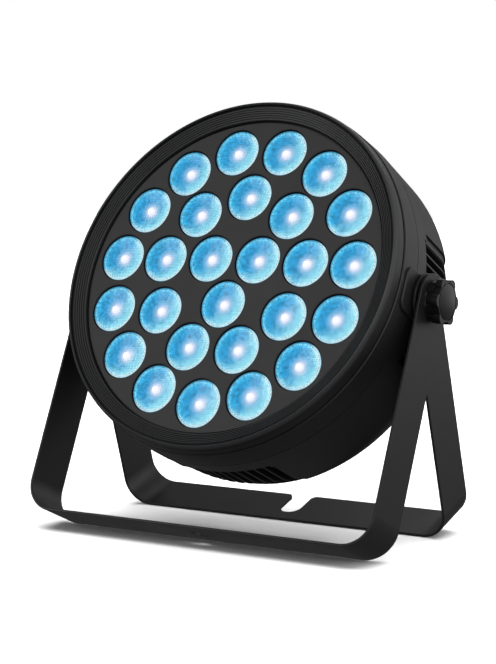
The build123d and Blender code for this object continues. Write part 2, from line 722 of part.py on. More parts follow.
def button(x):
    """A round cap with a flange that keeps it behind the panel."""
    cap = rod_y(BUTTON_RADIUS, PANEL_FRONT - 0.6, PANEL_FACE + 1.4, x, BUTTON_Z)
    cap = fillet(cap.edges().group_by(Axis.Y)[-1], 0.6)
    flange = rod_y(5.2, PANEL_FRONT - 2.2, PANEL_FRONT - 0.4, x, BUTTON_Z)
    stem = rod_y(2.0, CONTROL_BOARD_Y + PCB + 4.6, PANEL_FRONT - 2.0, x, BUTTON_Z)
    return cap + flange + stem


def tact_switches():
    front = CONTROL_BOARD_Y + PCB
    pieces = []
    for x in BUTTON_X:
        body = block(x - 3, x + 3, front, front + 2.6, BUTTON_Z - 3, BUTTON_Z + 3)
        pieces.append(body + rod_y(1.7, front + 2, front + 3.6, x, BUTTON_Z))
    return Compound(children=pieces)


def control_board():
    return block(-40, 40, CONTROL_BOARD_Y, CONTROL_BOARD_Y + PCB, BUTTON_Z - 9, DISPLAY_Z + 14)


def d_plate(x, z):
    width, height, depth = SOCKET_PLATE
    plate = Plane.XZ * RectangleRounded(width, height, 4.0)
    plate = Pos(x, PANEL_FACE + depth, z) * extrude(plate, depth)
    for side in (-1, 1):
        plate -= rod_y(1.6, PANEL_FACE - 1, PANEL_FACE + 5, x + side * 9.5, z + side * 12)
    return plate


def data_input():
    """Round data inlet with an open cavity and three pins."""
    x = -DATA_X
    body = d_plate(x, DATA_Z) + rod_y(11.3, PANEL_FRONT - 14, PANEL_FACE + 1, x, DATA_Z)
    body -= rod_y(8.2, PANEL_FRONT - 12, PANEL_FACE + 5, x, DATA_Z)
    for px, pz in around(4.0, 3, 60.0):
        body += rod_y(1.2, PANEL_FRONT - 12.5, PANEL_FRONT - 2.0, x + px, DATA_Z + pz)
    return body


def data_output():
    """Round data outlet with a solid insert and three contact holes."""
    x = DATA_X
    body = d_plate(x, DATA_Z) + rod_y(11.3, PANEL_FRONT - 14, PANEL_FACE + 1, x, DATA_Z)
    body -= rod_y(9.6, PANEL_FACE + 0.5, PANEL_FACE + 5, x, DATA_Z) - rod_y(7.6, PANEL_FACE, PANEL_FACE + 5, x, DATA_Z)
    for px, pz in around(4.0, 3, 60.0):
        body -= rod_y(1.4, PANEL_FRONT - 8, PANEL_FACE + 5, x + px, DATA_Z + pz)
    return body


def power_plate(x):
    width, height, depth = POWER_PLATE
    plate = Plane.XZ * RectangleRounded(width, height, 5.0)
    plate = Pos(x, PANEL_FACE + depth, POWER_Z) * extrude(plate, depth)
    inner_x, inner_z = POWER_BODY
    body = block(x - inner_x / 2, x + inner_x / 2, PANEL_FRONT - 14, PANEL_FACE + 1,
                 POWER_Z - inner_z / 2, POWER_Z + inner_z / 2)
    socket = plate + body
    for side in (-1, 1):
        socket -= rod_y(1.7, PANEL_FACE - 0.5, PANEL_FACE + 6, x + side * 19.5, POWER_Z)
    return socket


def power_inlet():
    """Recessed mains inlet with three flat pins."""
    x = -POWER_X
    width, height, depth = POWER_CAVITY
    mouth = PANEL_FACE + POWER_PLATE[2]
    floor = mouth - depth
    body = power_plate(x)
    body -= block(x - width / 2, x + width / 2, floor, mouth + 1, POWER_Z - height / 2, POWER_Z + height / 2)
    for px, pz in ((-7.0, -2.0), (0.0, 4.0), (7.0, -2.0)):
        body += block(x + px - 1, x + px + 1, floor - 0.5, mouth - 3, POWER_Z + pz - 2, POWER_Z + pz + 2)
    return body


def power_outlet():
    """Mains outlet that feeds the next light: a solid face with three slots."""
    x = POWER_X
    mouth = PANEL_FACE + POWER_PLATE[2]
    body = power_plate(x)
    for px, pz in ((-7.0, -2.0), (0.0, 4.0), (7.0, -2.0)):
        body -= block(x + px - 1.2, x + px + 1.2, mouth - 12, mouth + 1, POWER_Z + pz - 2.6, POWER_Z + pz + 2.6)
    return body


def fuse_holder():
    body = rod_y(FUSE_RADIUS, PANEL_FRONT - 20, PANEL_FACE + 0.1, 0, FUSE_Z)
    body += rod_y(8.0, PANEL_FACE, PANEL_FACE + 2, 0, FUSE_Z)
    return body - rod_y(4.4, PANEL_FRONT - 18, PANEL_FACE + 3, 0, FUSE_Z)


def fuse_cap():
    """A bayonet cap with a screwdriver slot, its stem inside the holder."""
    cap = rod_y(6.4, PANEL_FACE + 2.1, PANEL_FACE + 7, 0, FUSE_Z)
    cap -= block(-4.5, 4.5, PANEL_FACE + 5.6, PANEL_FACE + 8, FUSE_Z - 0.8, FUSE_Z + 0.8)
    return cap + rod_y(4.3, PANEL_FRONT - 6, PANEL_FACE + 2.5, 0, FUSE_Z)


def safety_eye():
    """A bent steel rod loop for a safety cable, riveted through the panel."""
    reach = PANEL_FACE + 9
    legs = [rod_y(2.5, PANEL_FRONT - 2, reach, x, 74) for x in (-12, 12)]
    arch = Pos(0, reach, 74) * Torus(12, 2.5)
    arch &= block(-20, 20, reach, reach + 20, 60, 90)
    collars = [rod_y(4.2, PANEL_FACE, PANEL_FACE + 2, x, 74) for x in (-12, 12)]
    nuts = [rod_y(4.2, PANEL_FRONT - 2, PANEL_FRONT, x, 74) for x in (-12, 12)]
    return legs[0].fuse(legs[1], arch, *collars, *nuts)


save("rear_panel", in_head(rear_panel()))
save("rear_panel_screws", in_head(rear_panel_screws()))
save("display_window", in_head(display_window()))
save("display_module", in_head(display_module()))
save("control_board", in_head(control_board()))
save("tact_switches", in_head(tact_switches()))
for name, x in zip(BUTTON_NAMES, BUTTON_X):
    save(name, in_head(button(x)))
save("data_input", in_head(data_input()))
save("data_output", in_head(data_output()))
save("power_inlet", in_head(power_inlet()))
save("power_outlet", in_head(power_outlet()))
save("fuse_holder", in_head(fuse_holder()))
save("fuse_cap", in_head(fuse_cap()))
save("safety_eye", in_head(safety_eye()))
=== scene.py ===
import json
import math

import bpy
from mathutils import Matrix, Vector
from mathutils.geometry import delaunay_2d_cdt


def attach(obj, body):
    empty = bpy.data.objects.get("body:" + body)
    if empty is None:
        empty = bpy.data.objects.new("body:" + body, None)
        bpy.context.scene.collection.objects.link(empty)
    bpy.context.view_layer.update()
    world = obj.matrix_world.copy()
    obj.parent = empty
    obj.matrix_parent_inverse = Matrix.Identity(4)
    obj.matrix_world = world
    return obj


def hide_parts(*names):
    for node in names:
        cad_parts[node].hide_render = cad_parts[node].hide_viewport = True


# An LED par can light on its double yoke, lit on a plain white floor.
#
# The new pieces are made in the head's own frame, in millimetres: X to the right as
# seen from the front, Y along the optical axis towards the rear, Z up, and the origin
# on the pivot axis.  One matrix then tilts them and lifts them to the pivot.

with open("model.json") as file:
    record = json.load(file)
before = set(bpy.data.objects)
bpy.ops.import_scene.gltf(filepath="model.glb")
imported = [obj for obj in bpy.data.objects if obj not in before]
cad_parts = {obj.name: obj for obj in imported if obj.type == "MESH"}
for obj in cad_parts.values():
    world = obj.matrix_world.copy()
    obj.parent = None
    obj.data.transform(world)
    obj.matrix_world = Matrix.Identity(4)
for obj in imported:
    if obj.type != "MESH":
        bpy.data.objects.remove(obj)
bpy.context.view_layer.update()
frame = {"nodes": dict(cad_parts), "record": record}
record = frame["record"]
joints = {joint["name"]: joint for joint in record["behaviour"]["joints"]}

PIVOT = Vector(joints["head_tilt"]["pos_m"])
OPTICAL_AXIS = Vector(joints["fan_spin"]["axis"])
TILT = math.atan2(-OPTICAL_AXIS.z, OPTICAL_AXIS.y)
MM = 0.001
HEAD = Matrix.Translation(PIVOT) @ Matrix.Rotation(-TILT, 4, "X") @ Matrix.Scale(MM, 4)


def head_span(node):
    """Lowest and highest corner of a CAD node in the head's frame, in millimetres."""
    to_head = HEAD.inverted()
    points = [to_head @ vertex.co for vertex in frame["nodes"][node].data.vertices]
    low = Vector([min(p[i] for p in points) for i in range(3)])
    high = Vector([max(p[i] for p in points) for i in range(3)])
    return low, high


PLATE_LOW, PLATE_HIGH = head_span("lens_mask_plate")
BEZEL_LOW, BEZEL_HIGH = head_span("front_bezel")
FACE_Y = PLATE_LOW.y                    # front face of the lens mask plate
PLATE_RADIUS = PLATE_HIGH.x
INSET = 0.03                            # keeps the finer bezel inside the CAD's box
BEZEL_RADIUS = BEZEL_HIGH.x - INSET
RIM_Y = BEZEL_LOW.y + INSET
BEZEL_BACK = BEZEL_HIGH.y


# ---------------------------------------------------------------- camera
CAMERA_AZIMUTH = math.radians(32.156)
CAMERA_PITCH = math.radians(5.02)
CAMERA_OFFSET = Vector((0.7002, -1.1235, 0.0884))       # from the pivot
LONG_SIDE = 664
FOCAL_PIXELS = 1816.9
SENSOR = 36.0


def make_camera():
    data = bpy.data.cameras.new("camera")
    data.sensor_width = SENSOR
    data.lens = FOCAL_PIXELS * SENSOR / LONG_SIDE
    data.clip_start = 0.05
    camera = bpy.data.objects.new("camera", data)
    camera.location = PIVOT + CAMERA_OFFSET
    camera.rotation_euler = (math.radians(90) - CAMERA_PITCH, 0, CAMERA_AZIMUTH)
    bpy.context.scene.collection.objects.link(camera)
    bpy.context.scene.camera = camera


make_camera()


# ---------------------------------------------------------------- node helpers
def srgb(red, green, blue):
    """A colour given as screen values from 0 to 255, as linear light."""
    def linear(value):
        share = value / 255
        return share / 12.92 if share <= 0.04045 else ((share + 0.055) / 1.055) ** 2.4
    return (linear(red), linear(green), linear(blue), 1.0)


def grey(value):
    return (value, value, value, 1.0)


def add(tree, kind, inputs=None, **settings):
    """A node with its settings and its inputs; an input may be a value or another socket."""
    node = tree.nodes.new(kind)
    for name, value in settings.items():
        setattr(node, name, value)
    for name, value in (inputs or {}).items():
        if isinstance(value, bpy.types.NodeSocket):
            tree.links.new(value, node.inputs[name])
        else:
            node.inputs[name].default_value = value
    return node


def math_node(tree, operation, first, second):
    inputs = {0: first, 1: second}
    return add(tree, "ShaderNodeMath", inputs, operation=operation).outputs[0]


def noise(tree, vector, scale, detail=4.0, roughness=0.5):
    inputs = {"Vector": vector, "Scale": scale, "Detail": detail, "Roughness": roughness}
    return add(tree, "ShaderNodeTexNoise", inputs).outputs["Fac"]


def ramp(tree, factor, stops):
    """Colour between (position, colour) stops."""
    node = add(tree, "ShaderNodeValToRGB", {"Fac": factor})
    elements = node.color_ramp.elements
    while len(elements) < len(stops):
        elements.new(0.5)
    for element, (position, colour) in zip(elements, stops):
        element.position = position
        element.color = colour
    return node.outputs["Color"]


def spread(tree, factor, low, high):
    """A noise's middle range stretched between two values."""
    inputs = {"Value": factor, "From Min": 0.3, "From Max": 0.7, "To Min": low, "To Max": high}
    return add(tree, "ShaderNodeMapRange", inputs).outputs["Result"]


def blank(name):
    """An empty material: its tree, its shader and its object coordinates."""
    material = bpy.data.materials.new(name)
    material.use_nodes = True
    tree = material.node_tree
    shader = tree.nodes["Principled BSDF"]
    place = tree.nodes.new("ShaderNodeTexCoord").outputs["Object"]
    return material, tree, shader, place


def relief(tree, shader, height, depth):
    """Fine relief of a height map, depth in metres."""
    bump = add(tree, "ShaderNodeBump", {"Height": height, "Distance": depth, "Strength": 1.0})
    tree.links.new(bump.outputs["Normal"], shader.inputs["Normal"])


def moulded(name, dark, light, gloss, grain, depth, specular=0.5):
    """Plastic, paint or cast metal: two close tones, uneven gloss and a fine grain.

    gloss is the lowest and highest roughness, grain the size of the texture in metres.
    """
    material, tree, shader, place = blank(name)
    shader.inputs["Specular IOR Level"].default_value = specular
    broad = noise(tree, place, 18.0, 5.0, 0.6)
    fine = noise(tree, place, 1.0 / grain, 3.0, 0.6)
    mixed = math_node(tree, "MULTIPLY_ADD", broad, 0.7)
    tree.links.new(math_node(tree, "MULTIPLY", fine, 0.3), mixed.node.inputs[2])
    colour = ramp(tree, mixed, [(0.35, dark), (0.65, light)])
    tree.links.new(colour, shader.inputs["Base Color"])
    tree.links.new(spread(tree, broad, *gloss), shader.inputs["Roughness"])
    relief(tree, shader, fine, depth)
    return material


def paint_crest_highlights(material, tone):
    """Give a material a lighter tone, a painted highlight, where the mesh's "crest" attribute is 1.
    """
    tree = material.node_tree
    target = tree.nodes["Principled BSDF"].inputs["Base Color"]
    plain = target.links[0].from_socket
    crest = add(tree, "ShaderNodeAttribute", attribute_name="crest").outputs["Fac"]
    # Painted highlight: the lighter tone on the crests.
    painted_highlight = add(tree, "ShaderNodeMix", {0: crest, 6: plain, 7: tone}, data_type="RGBA")
    tree.links.new(painted_highlight.outputs[2], target)


# ---------------------------------------------------------------- materials
def powder_coat():
    """Satin powder coat: a fine orange-peel under a finer sparkle of grains."""
    material, tree, shader, place = blank("powder_coat")
    shader.inputs["Specular IOR Level"].default_value = 0.4
    broad = noise(tree, place, 22.0, 4.0, 0.6)
    peel = noise(tree, place, 900.0, 2.0, 0.5)
    grains = add(tree, "ShaderNodeTexVoronoi", {
        "Vector": place, "Scale": 1500.0}).outputs["Distance"]
    height = math_node(tree, "MULTIPLY_ADD", grains, -0.6)
    tree.links.new(peel, height.node.inputs[2])
    colour = ramp(tree, broad, [(0.3, grey(0.012)), (0.7, grey(0.017))])
    tree.links.new(colour, shader.inputs["Base Color"])
    tree.links.new(spread(tree, broad, 0.40, 0.50), shader.inputs["Roughness"])
    relief(tree, shader, height, 0.00003)
    return material


def brushed(name, colour, gloss, stretch):
    """Metal with fine brushed lines; stretch is the noise's scale along each axis."""
    material, tree, shader, place = blank(name)
    shader.inputs["Metallic"].default_value = 1.0
    lines = add(tree, "ShaderNodeMapping", {"Vector": place, "Scale": stretch}).outputs["Vector"]
    streak = noise(tree, lines, 1.0, 3.0, 0.6)
    darker = tuple(0.7 * channel for channel in colour[:3]) + (1.0,)
    tree.links.new(ramp(tree, streak, [(0.3, darker), (0.7, colour)]), shader.inputs["Base Color"])
    tree.links.new(spread(tree, streak, *gloss), shader.inputs["Roughness"])
    relief(tree, shader, streak, 0.00002)
    return material


def circuit_board():
    """Solder mask over copper tracks."""
    material, tree, shader, place = blank("circuit_board")
    tracks = add(tree, "ShaderNodeTexBrick", {
        "Vector": place, "Scale": 160.0, "Mortar Size": 0.02, "Color1": grey(0.0),
        "Color2": grey(0.2), "Mortar": grey(1.0),
    }).outputs["Color"]
    colour = ramp(tree, tracks, [(0.0, (0.010, 0.075, 0.030, 1)), (1.0, (0.03, 0.17, 0.07, 1))])
    tree.links.new(colour, shader.inputs["Base Color"])
    tree.links.new(spread(tree, noise(tree, place, 60.0), 0.30, 0.45), shader.inputs["Roughness"])
    relief(tree, shader, tracks, 0.00004)
    return material


def display_glass():
    """Dark tinted glass with a faint dot grid behind it."""
    material, tree, shader, place = blank("display_glass")
    shader.inputs["Coat Weight"].default_value = 0.6
    shader.inputs["Coat Roughness"].default_value = 0.05
    dots = add(tree, "ShaderNodeTexVoronoi", {
        "Vector": place, "Scale": 1400.0, "Randomness": 0.0}).outputs["Distance"]
    colour = ramp(tree, dots, [(0.25, (0.010, 0.016, 0.026, 1)), (0.5, (0.004, 0.006, 0.010, 1))])
    tree.links.new(colour, shader.inputs["Base Color"])
    tree.links.new(spread(tree, noise(tree, place, 90.0), 0.08, 0.16), shader.inputs["Roughness"])
    return material


# The pale side is painted light: towards one side each lens turns paler and its rim brighter, as a
# lit lens looks when seen at a slant from that side.
PALE_SIDE = (0.84, -0.54, 0.0)          # across the face: right and a little down
PALE_RANGE = (0.28, 1.20)               # how far towards that side the field turns pale
LOBE_STRENGTH = 2.0                     # of the four pale lobes between the axes
BEAD_SHIMMER = (0.62, 1.38)             # brightness between the beads and on their crowns
MOTTLE_SCALE = 480.0
MOTTLE = (0.42, 1.50)                   # lowest and highest brightness of the mottling
MOTTLE_REACH = (0.18, 0.50)             # radius at which it starts and is full
PALE_MOTTLE_LOSS = -0.55                # less mottling on the painted pale side


def lit_lens():
    """A lit collimator: white core, lavender halo, sky-blue field, a painted pale side with a
    painted rim highlight, fine beads.

    The lens's UV map runs from 0 to 1 across it, and its "bead" attribute is 1 on the
    crown of each bead and 0 between them.
    """
    material, tree, shader, place = blank("lit_lens")
    across = add(tree, "ShaderNodeUVMap", uv_map="across").outputs["UV"]
    centred = add(tree, "ShaderNodeMapping", {
        "Vector": across, "Location": (-1.0, -1.0, 0.0), "Scale": (2.0, 2.0, 0.0),
    }).outputs["Vector"]
    radius = add(tree, "ShaderNodeVectorMath", {0: centred}, operation="LENGTH").outputs["Value"]
    wander = noise(tree, place, 110.0, 3.0, 0.6)
    blue = ramp(tree, radius, [
        (0.00, srgb(255, 255, 255)), (0.10, srgb(252, 250, 255)), (0.19, srgb(216, 222, 248)),
        (0.32, srgb(128, 192, 236)), (0.50, srgb(46, 158, 214)), (0.72, srgb(38, 162, 220)),
        (0.86, srgb(60, 188, 238)), (0.93, srgb(126, 218, 250)), (0.965, srgb(64, 170, 212)),
        (1.00, srgb(16, 76, 120))])
    pale = ramp(tree, radius, [
        (0.00, srgb(255, 255, 255)), (0.12, srgb(255, 252, 255)), (0.22, srgb(220, 234, 250)),
        (0.42, srgb(146, 218, 244)), (0.62, srgb(146, 226, 248)), (0.80, srgb(162, 236, 252)),
        (0.91, srgb(204, 244, 252)), (0.97, srgb(226, 250, 255)), (1.00, srgb(120, 190, 220))])
    towards = add(tree, "ShaderNodeVectorMath", {0: centred, 1: PALE_SIDE},
                  operation="DOT_PRODUCT").outputs["Value"]
    parts = add(tree, "ShaderNodeSeparateXYZ", {"Vector": centred}).outputs
    product = math_node(tree, "MULTIPLY", parts["X"], parts["Y"])
    squared = math_node(tree, "MULTIPLY", product, product)
    lobes = math_node(tree, "MULTIPLY", squared, LOBE_STRENGTH)
    uneven = math_node(tree, "MULTIPLY_ADD", wander, 1.0)
    tree.links.new(math_node(tree, "ADD", towards, lobes), uneven.node.inputs[2])
    share = add(tree, "ShaderNodeMapRange", {
        "Value": uneven, "From Min": PALE_RANGE[0], "From Max": PALE_RANGE[1],
    }, interpolation_type="SMOOTHSTEP")
    # Painted light: the pale field and its bright rim, mixed in towards one side of the lens.
    sides = {0: share.outputs["Result"], 6: blue, 7: pale}
    field = add(tree, "ShaderNodeMix", sides, data_type="RGBA")
    bead = add(tree, "ShaderNodeAttribute", attribute_name="bead").outputs["Fac"]
    shimmer = add(tree, "ShaderNodeMapRange", {
        "Value": bead, "To Min": BEAD_SHIMMER[0], "To Max": BEAD_SHIMMER[1]})
    sparkle = add(tree, "ShaderNodeVectorMath", {0: field.outputs[2]}, operation="SCALE")
    mottle = spread(tree, noise(tree, place, MOTTLE_SCALE, 4.0, 0.75), *MOTTLE)
    outside = add(tree, "ShaderNodeMapRange", {
        "Value": radius, "From Min": MOTTLE_REACH[0], "From Max": MOTTLE_REACH[1]})
    fading = math_node(tree, "MULTIPLY_ADD", share.outputs["Result"], PALE_MOTTLE_LOSS)
    fading.node.inputs[2].default_value = 1.0
    reach = math_node(tree, "MULTIPLY", outside.outputs["Result"], fading)
    mottle = add(tree, "ShaderNodeMix", {0: reach, 2: 1.0, 3: mottle}).outputs[0]
    brightness = math_node(tree, "MULTIPLY", shimmer.outputs["Result"], mottle)
    tree.links.new(brightness, sparkle.inputs["Scale"])
    tree.links.new(sparkle.outputs["Vector"], shader.inputs["Emission Color"])
    shader.inputs["Emission Strength"].default_value = 1.0
    shader.inputs["Base Color"].default_value = (0.02, 0.04, 0.06, 1.0)
    tree.links.new(spread(tree, wander, 0.12, 0.22), shader.inputs["Roughness"])
    return material


FINISHES = {
    "yoke_powder_coat": powder_coat(),
    "housing_black": moulded("housing_black", grey(0.010), grey(0.015),
                             (0.42, 0.52), 0.0006, 0.00002, 0.45),
    "mask_charcoal": moulded("mask_charcoal", (0.054, 0.052, 0.052, 1), (0.068, 0.066, 0.066, 1),
                             (0.60, 0.72), 0.0008, 0.00003, 0.3),
    "lens_lit": lit_lens(),
    "holder_black": moulded("holder_black", grey(0.003), grey(0.006),
                            (0.20, 0.32), 0.0010, 0.00001),
    "rubber_black": moulded("rubber_black", grey(0.006), grey(0.010),
                            (0.65, 0.80), 0.0007, 0.00003, 0.3),
    "nylon_black": moulded("nylon_black", grey(0.010), grey(0.014), (0.40, 0.50), 0.0006, 0.00002),
    "knob_black": moulded("knob_black", grey(0.005), grey(0.009),
                          (0.26, 0.36), 0.0007, 0.00002, 0.3),
    "steel_zinc": brushed("steel_zinc", (0.52, 0.53, 0.54, 1),
                          (0.28, 0.42), (4000.0, 400.0, 400.0)),
    "screw_black": moulded("screw_black", grey(0.012), grey(0.022),
                           (0.30, 0.45), 0.0005, 0.00002, 0.6),
    "steel_bright": brushed("steel_bright", (0.60, 0.60, 0.61, 1),
                            (0.15, 0.28), (600.0, 3000.0, 3000.0)),
    "aluminium_black": moulded("aluminium_black", grey(0.006), grey(0.010),
                               (0.35, 0.50), 0.0005, 0.00002),
    "panel_black": moulded("panel_black", grey(0.010), grey(0.015), (0.42, 0.55), 0.0009, 0.00004),
    "board_white": moulded("board_white", grey(0.55), grey(0.66), (0.35, 0.45), 0.0010, 0.00001),
    "emitter_yellow": moulded("emitter_yellow", (0.55, 0.45, 0.12, 1), (0.70, 0.60, 0.22, 1),
                              (0.15, 0.25), 0.0006, 0.00001),
    "board_green": circuit_board(),
    "component_mixed": moulded("component_mixed", grey(0.010), (0.05, 0.045, 0.03, 1),
                               (0.30, 0.50), 0.0010, 0.00002),
    "fan_black": moulded("fan_black", grey(0.006), grey(0.009), (0.30, 0.42), 0.0008, 0.00001),
    "display_dark": display_glass(),
    "display_body": moulded("display_body", grey(0.020), grey(0.030),
                            (0.40, 0.50), 0.0008, 0.00001),
    "button_grey": moulded("button_grey", grey(0.060), grey(0.085), (0.55, 0.68), 0.0006, 0.00003),
    "connector_black": moulded("connector_black", grey(0.009), grey(0.013),
                               (0.38, 0.48), 0.0008, 0.00002),
}
# Painted highlight on the bezel's groove ridges and rim, through the housing's finish.
paint_crest_highlights(FINISHES["housing_black"], grey(0.045))
for part in record["subparts"]:
    mesh = frame["nodes"][part["node"]].data
    mesh.materials.clear()
    mesh.materials.append(FINISHES[part["material_slot"]])


# ---------------------------------------------------------------- mesh helpers
def piece(name, vertices, faces, slot, body, node):
    """A mesh piece with its finish, its body and the CAD node that it stands for."""
    mesh = bpy.data.meshes.new(name)
    mesh.from_pydata([HEAD @ Vector(v) for v in vertices], [], faces)
    mesh.polygons.foreach_set("use_smooth", [True] * len(mesh.polygons))
    mesh.materials.append(FINISHES[slot])
    return settle(bpy.data.objects.new(name, mesh), body, node)


def settle(thing, body, node):
    bpy.context.scene.collection.objects.link(thing)
    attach(thing, body)
    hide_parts(node)
    return thing


def lathe(profile, segments):
    """Vertices and faces of a closed (radius, y) profile turned about the optical axis."""
    vertices = []
    for step in range(segments):
        angle = 2 * math.pi * step / segments
        vertices += [(r * math.sin(angle), y, r * math.cos(angle)) for r, y in profile]
    size = len(profile)
    faces = []
    for step in range(segments):
        here = step * size
        there = (step + 1) % segments * size
        for i in range(size):
            j = (i + 1) % size
            faces.append((here + i, here + j, there + j, there + i))
    return vertices, faces


# ---------------------------------------------------------------- front bezel
GROOVES = 6
GROOVE_DEPTH = 0.60
# Each groove as (share of its pitch, depth): a flat ridge, then the groove's floor.
GROOVE_STEPS = ((0.0, 0.0), (0.40, 0.0), (0.52, GROOVE_DEPTH), (0.88, GROOVE_DEPTH))
FUNNEL_INNER = (PLATE_RADIUS + 1.8, FACE_Y - 2.2)       # radius, y
FUNNEL_OUTER = (130.0, FACE_Y - 6.4)


def bezel_profile():
    """The bezel's section as (radius, y), from the plate's edge out over the funnel and the rim."""
    across = FUNNEL_OUTER[0] - FUNNEL_INNER[0]
    along = FUNNEL_OUTER[1] - FUNNEL_INNER[1]
    points = []
    for number in range(GROOVES):
        for share, depth in GROOVE_STEPS:
            t = (number + share) / GROOVES
            points.append((FUNNEL_INNER[0] + across * t, FUNNEL_INNER[1] + along * t + depth))
    points += [FUNNEL_OUTER, (130.3, FACE_Y - 6.2), (130.4, FACE_Y - 5.2), (131.0, FACE_Y - 5.2)]
    points += [(131.15, RIM_Y + 0.7), (131.45, RIM_Y + 0.42), (131.9, RIM_Y)]
    points += [(132.6, RIM_Y + 0.5), (133.4, RIM_Y + 2.0)]
    points += [(133.95, RIM_Y + 4.0), (134.2, RIM_Y + 6.0)]
    points += [(BEZEL_RADIUS, BEZEL_BACK - 0.4), (BEZEL_RADIUS - 0.3, BEZEL_BACK)]
    points += [(PLATE_RADIUS - 2.3, BEZEL_BACK), (PLATE_RADIUS - 2.3, FACE_Y + 1.5)]
    points += [(PLATE_RADIUS + 1.3, FACE_Y + 1.5), (PLATE_RADIUS + 1.3, FACE_Y - 1.6)]
    points += [(PLATE_RADIUS + 1.5, FACE_Y - 2.0)]
    return points


def shade_by_angle(thing, degrees):
    """Smooth shading, with edges sharper than the angle kept crisp."""
    mesh = thing.data
    mesh.polygons.foreach_set("use_smooth", [True] * len(mesh.polygons))
    mesh.set_sharp_from_angle(angle=math.radians(degrees))


BEZEL_SEGMENTS = 288
RIM_HIGHLIGHT = 0.8                         # the rounded rim takes a little less painted highlight than the ridges
bezel_vertices, bezel_faces = lathe(bezel_profile(), BEZEL_SEGMENTS)
bezel = piece("bezel", bezel_vertices, bezel_faces, "housing_black", "head", "front_bezel")
shade_by_angle(bezel, 30)
steps = len(GROOVE_STEPS)
first_rim_point = steps * GROOVES + 5
# Painted highlight for each point of the profile: full on the groove ridges, a little less on the
# rim.
crests = [0.0] * len(bezel_profile())
for groove in range(GROOVES):
    crests[steps * groove] = 1.0
    crests[steps * groove + 1] = 1.0
for rim_point in range(first_rim_point, first_rim_point + 4):
    crests[rim_point] = RIM_HIGHLIGHT
crest = bezel.data.attributes.new("crest", "FLOAT", "POINT")
crest.data.foreach_set("value", crests * BEZEL_SEGMENTS)


# ---------------------------------------------------------------- lenses
LENS_RADIUS = 17.6
LENS_RIM_Y = FACE_Y + 1.5
BEAD_PITCH = 1.5
BEAD_RISE = 0.12
DISH_DEPTH = 2.6
BEADED_RADIUS = 16.3
CORE_RADIUS = 3.0
CORE_RINGS = (                          # radius, points round it
    (0.0, 1), (0.6, 8), (1.2, 12), (1.8, 18), (2.3, 24), (2.7, 24), (2.93, 24), (3.02, 24),
)
LENS_RINGS = (
    # node, ring radius, lenses, first angle
    ("inner_lenses", 23.0, 3, 60.0),
    ("middle_lenses", 60.2, 9, 0.0),
    ("outer_lenses", 97.9, 15, 12.0),
)


def dish(radius):
    """How far the face lies behind the rim: a shallow bowl with a round core in its middle."""
    share = radius / LENS_RADIUS
    bowl = DISH_DEPTH * (1 - share ** 2)
    core = math.sqrt(max(0.0, CORE_RADIUS ** 2 - radius ** 2))
    return bowl - core


def bead_points():
    """(x, z, crown) over the face: the middle and the corners of each hexagonal bead."""
    side = BEAD_PITCH / math.sqrt(3)
    reach = int(LENS_RADIUS / BEAD_PITCH) + 2
    middles = set()
    corners = set()
    for row in range(-reach, reach + 1):
        for column in range(-reach, reach + 1):
            x = BEAD_PITCH * (column + 0.5 * (row % 2))
            z = 1.5 * side * row
            middles.add((round(x, 4), round(z, 4)))
            for corner in range(6):
                angle = math.radians(30 + 60 * corner)
                corner_x = x + side * math.cos(angle)
                corner_z = z + side * math.sin(angle)
                corners.add((round(corner_x, 2), round(corner_z, 2)))
    points = []
    for spots, crown in ((middles, 1.0), (corners, 0.0)):
        for x, z in sorted(spots):
            if CORE_RADIUS + 0.3 < math.hypot(x, z) < BEADED_RADIUS:
                points.append((x, z, crown))
    for ring_radius, count in CORE_RINGS:
        for step in range(count):
            angle = 2 * math.pi * step / count
            points.append((ring_radius * math.sin(angle), ring_radius * math.cos(angle), 0.5))
    return points


RIM_STEPS = 96
# The lens's rim and its back, as (radius, y behind the rim).
RIM_PROFILE = ((16.75, 0.25), (17.15, -0.05), (17.45, 0.05), (17.6, 0.35))
BACK_PROFILE = ((17.6, 1.6), (13.0, 8.0), (7.0, 16.0))


def lens_mesh():
    """One lens about its own centre, in millimetres, closed at the back."""
    points = bead_points()
    circle = [2 * math.pi * step / RIM_STEPS for step in range(RIM_STEPS)]
    rim_radius, rim_y = RIM_PROFILE[0]
    first_ring = [(rim_radius * math.sin(a), rim_radius * math.cos(a)) for a in circle]
    flat = [Vector(p) for p in first_ring] + [Vector((x, z)) for x, z, crown in points]
    border = [(i, (i + 1) % RIM_STEPS) for i in range(RIM_STEPS)]
    out = delaunay_2d_cdt(flat, border, [], 1, 1e-4)
    spots, triangles, origins = out[0], out[2], out[3]
    vertices = []
    crowns = []
    for spot, origin in zip(spots, origins):
        source = origin[0]
        crown = points[source - RIM_STEPS][2] if source >= RIM_STEPS else 0.0
        on_rim = source < RIM_STEPS
        y = rim_y if on_rim else dish(spot.length) - BEAD_RISE * crown
        vertices.append((spot.x, y, spot.y))
        crowns.append(crown)
    index = {origin[0]: number for number, origin in enumerate(origins)}
    faces = [tuple(face) for face in triangles]
    previous = [index[i] for i in range(RIM_STEPS)]
    for radius, y in RIM_PROFILE[1:] + BACK_PROFILE:
        start = len(vertices)
        vertices += [(radius * math.sin(a), y, radius * math.cos(a)) for a in circle]
        crowns += [0.5] * RIM_STEPS
        ring = [start + i for i in range(RIM_STEPS)]
        for i in range(RIM_STEPS):
            j = (i + 1) % RIM_STEPS
            faces.append((previous[i], ring[i], ring[j], previous[j]))
        previous = ring
    faces.append(tuple(previous))
    return vertices, faces, crowns


